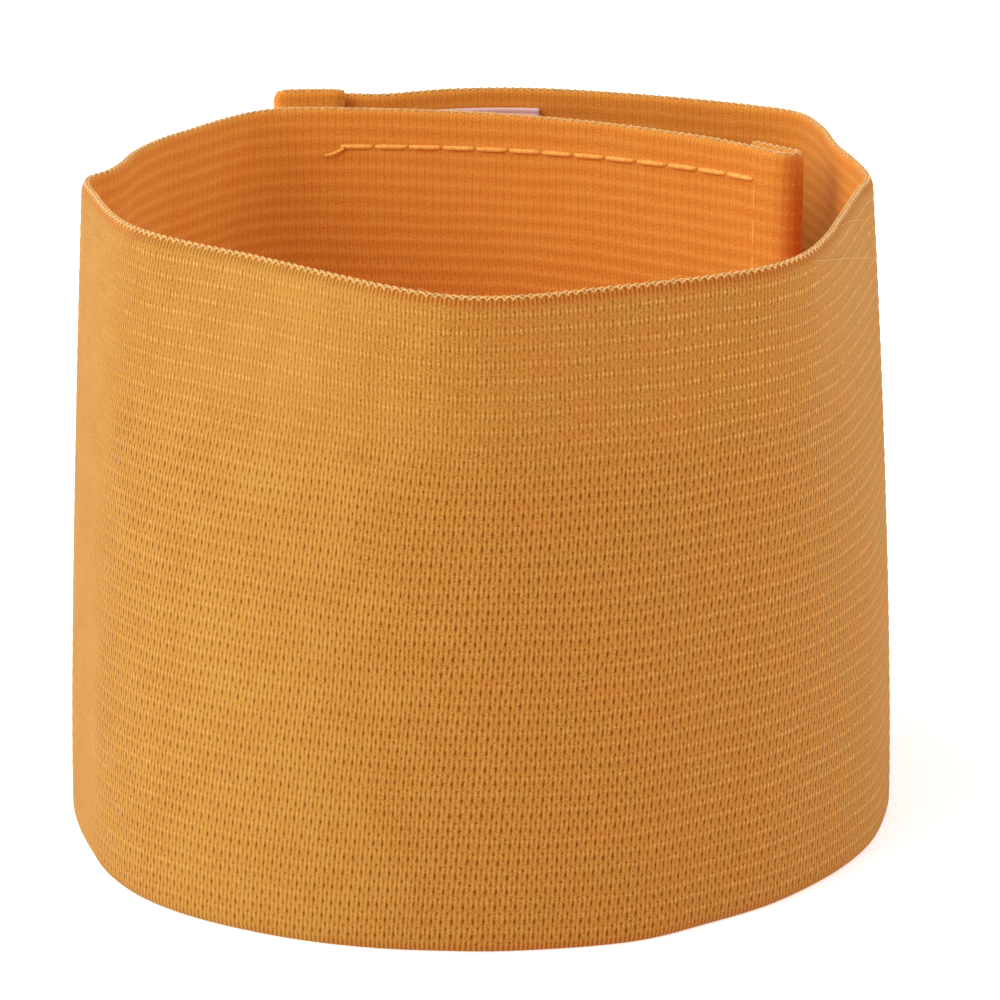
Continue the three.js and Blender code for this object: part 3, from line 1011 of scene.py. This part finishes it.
class ARMBAND_OT_stitching(Operator):
    """Make the sewing thread that holds both tapes, on both faces of the plies"""

    bl_idname = "armband.stitching"
    bl_label = "Stitching"
    torn = 64 * MM
    tilt = 0.014

    def tail(self, ring):
        """The thread's loose end, where its last stitches have come out: it leaves the upper
        run and hangs along the cloth in one quarter of a wave."""
        s = sizes()
        share = np.linspace(0, 1, 16)[None]
        length = self.torn - ring.start + 1.6 * MM + share * 2.6 * MM
        high = s.strap_width - s.loop_margin - s.seam_inset
        height = high - 1.1 * MM * np.sin(share * math.pi / 2) + 0.2 * MM * share
        offset = -s.strap_thickness / 2 - s.seam_thread * (0.6 + 1.5 * share)
        path = on_ring(ring, length, offset, height)
        beside = on_ring(ring, length, offset - MM, height) - path
        return tubes(path, s.seam_thread * (0.8 - 0.3 * share), beside, 6, share)

    def execute(self, context):
        s, c, ring = sizes(), colours(), make_ring()
        half = s.strap_thickness / 2
        hooks = seam_runs(hook_seam(ring))
        loops = seam_runs(loop_seam(ring))
        start, end = loop_seam(ring)["ends"]
        loops[:, :, 1] *= 1 + self.tilt * (end - loops[:, :, 0]) / (end - start)
        loose = (loops[:, 0, 0] > self.torn) & (loops.mean(axis=1)[:, 1] > s.strap_width / 2)
        tape_face = half + s.clearance + 0.56 * s.loop_thickness
        hem_face = half + s.inner_slit + s.strap_thickness
        hook_back = 0.02 * MM
        lots = (
            (hooks, lambda length: half + 0 * length, 1),
            (hooks, lambda length: pad_offset(ring, length) + hook_back, -1),
            (loops[~loose], lambda length: -half + 0 * length, -1),
            (loops, lambda length: np.where(length < s.inner_hem, hem_face, tape_face), 1),
        )
        parts = [stitches(ring, pairs, face, outward) for pairs, face, outward in lots]
        parts.append(self.tail(ring))
        finish = yarn_finish("Sewing thread", c.seam, c.yarn, 2500.0, shaded_ends=True)
        make_piece("Tape_stitching", *joined(parts), finish, "elastic")
        return {"FINISHED"}


# Each loose fibre: where it leaves the cloth as lengths along the ring and up it in
# millimetres, how far it runs along and up, how far it stands out, and how much it sags.
FIBRES = (
    (229.6, 69.8, 12.0, -2.9, 1.0, -0.5),
    (217.6, 69.2, 30.0, -7.8, 1.4, -0.3),
    (195.0, 70.0, 1.5, 0.6, 0.3, -0.3),
    (197.5, 70.0, 2.2, 0.5, 0.5, -0.4),
    (199.5, 70.0, -1.6, 0.7, 0.4, 0.2),
    (204.0, 70.0, 1.2, 0.6, 0.3, -0.2),
    (213.5, 70.0, 1.6, 0.7, 0.4, -0.2),
    (172.5, 70.0, -1.8, 0.6, 0.3, -0.2),
    (188.0, 70.0, 1.0, 0.5, 0.2, -0.2),
)


class ARMBAND_OT_fibres(Operator):
    """Make the loose fibres: thin curved tubes that leave the cloth at one end"""

    bl_idname = "armband.fibres"
    bl_label = "Loose fibres"

    def execute(self, context):
        s, c, ring = sizes(), colours(), make_ring()
        columns = (np.array(FIBRES) * MM)[:, :, None].transpose(1, 0, 2)
        start, foot, run, climb, stand, sag = columns
        share = np.linspace(0, 1, 14)[None]
        length = start + run * share
        height = foot + climb * share - sag * np.sin(share * math.pi)
        offset = s.strap_thickness / 2 + stand * share ** 1.5
        path = on_ring(ring, length, offset, height)
        beside = np.broadcast_to(np.array([0.2, 0.1, 1.0]), path.shape)
        finish = yarn_finish("Loose fibre", c.edge_yarn, c.yarn, 800.0)
        parts = tubes(path, 0.035 * MM * (1.2 - share), beside, 4, share)
        make_piece("Loose_fibres", *parts, finish, "elastic")
        return {"FINISHED"}


class ARMBAND_OT_stage(Operator):
    """Make the floor, the lights and the camera"""

    bl_idname = "armband.stage"
    bl_label = "Stage"

    def execute(self, context):
        scene = context.scene
        t, c = scene.armband_stage, colours()
        reach = t.floor_reach
        corners = np.array([[-1, -1], [1, -1], [1, 1], [-1, 1]]) * reach
        mesh = bpy.data.meshes.new("Floor")
        white = (1.0, 1.0, 1.0)
        mesh.from_pydata([(x, y, 0.0) for x, y in corners], [], [(0, 1, 2, 3)])
        k = Shader("Floor")
        grain = k.noise(k.place(), 40.0, 2.0)
        mesh.materials.append(k.finish(
            Base_Color=k.mix(grain * 0.04, c.floor, (0.8, 0.8, 0.8)), Roughness=0.9,
            Specular_IOR_Level=0.1, Emission_Color=white, Emission_Strength=t.floor_glow))
        floor = bpy.data.objects.new("Floor", mesh)
        scene.collection.objects.link(floor)
        for name, place, size, power in LAMPS:
            light = bpy.data.lights.new(name, "AREA")
            light.shape = "DISK"
            light.size = size
            light.energy = power
            lamp = bpy.data.objects.new(name, light)
            lamp.location = place
            aim = Vector((0, 0, sizes().strap_width / 2)) - Vector(place)
            lamp.rotation_euler = aim.to_track_quat("-Z", "Y").to_euler()
            scene.collection.objects.link(lamp)
        world = bpy.data.worlds.new("Studio")
        world.use_nodes = True
        background = world.node_tree.nodes["Background"]
        background.inputs["Color"].default_value = solid(white)
        background.inputs["Strength"].default_value = t.sky
        scene.world = world
        camera_data = bpy.data.cameras.new("Camera")
        camera_data.sensor_width = 36
        camera_data.lens = t.camera_lens
        camera_data.clip_start = 0.01
        camera = bpy.data.objects.new("Camera", camera_data)
        camera.location = (t.camera_side, -t.camera_back, t.camera_height)
        camera.rotation_euler = (math.pi / 2 - t.camera_tilt, 0, 0)
        scene.collection.objects.link(camera)
        scene.camera = camera
        scene.view_settings.view_transform = "Standard"
        return {"FINISHED"}


class ARMBAND_PT_panel(Panel):
    """The armband's pieces and sizes in the 3D view's sidebar"""

    bl_idname = "ARMBAND_PT_panel"
    bl_label = "Armband"
    bl_space_type = "VIEW_3D"
    bl_region_type = "UI"
    bl_category = "Armband"

    def draw(self, context):
        layout = self.layout
        for operator in OPERATORS:
            layout.operator(operator.bl_idname)
        for group in (
            context.scene.armband_sizes, context.scene.armband_colours,
            context.scene.armband_stage,
        ):
            box = layout.box()
            for name in group.bl_rna.properties.keys():
                if name not in ("rna_type", "name"):
                    box.prop(group, name)


OPERATORS = (
    ARMBAND_OT_strap,
    ARMBAND_OT_binding,
    ARMBAND_OT_hook_tape,
    ARMBAND_OT_loop_tape,
    ARMBAND_OT_stitching,
    ARMBAND_OT_fibres,
    ARMBAND_OT_stage,
)
GROUPS = {
    "armband_sizes": ArmbandSizes,
    "armband_colours": ArmbandColours,
    "armband_stage": ArmbandStage,
}


def register():
    for group in (*GROUPS.values(), *OPERATORS, ARMBAND_PT_panel):
        bpy.utils.register_class(group)
    for name, group in GROUPS.items():
        setattr(bpy.types.Scene, name, PointerProperty(type=group))


def unregister():
    for name in GROUPS:
        delattr(bpy.types.Scene, name)
    for group in reversed((*GROUPS.values(), *OPERATORS, ARMBAND_PT_panel)):
        bpy.utils.unregister_class(group)


def main():
    """Makes every piece in order."""
    register()
    bpy.ops.armband.strap()
    bpy.ops.armband.binding()
    bpy.ops.armband.hook_tape()
    bpy.ops.armband.loop_tape()
    bpy.ops.armband.stitching()
    bpy.ops.armband.fibres()
    bpy.ops.armband.stage()


if __name__ == "__main__":
    main()
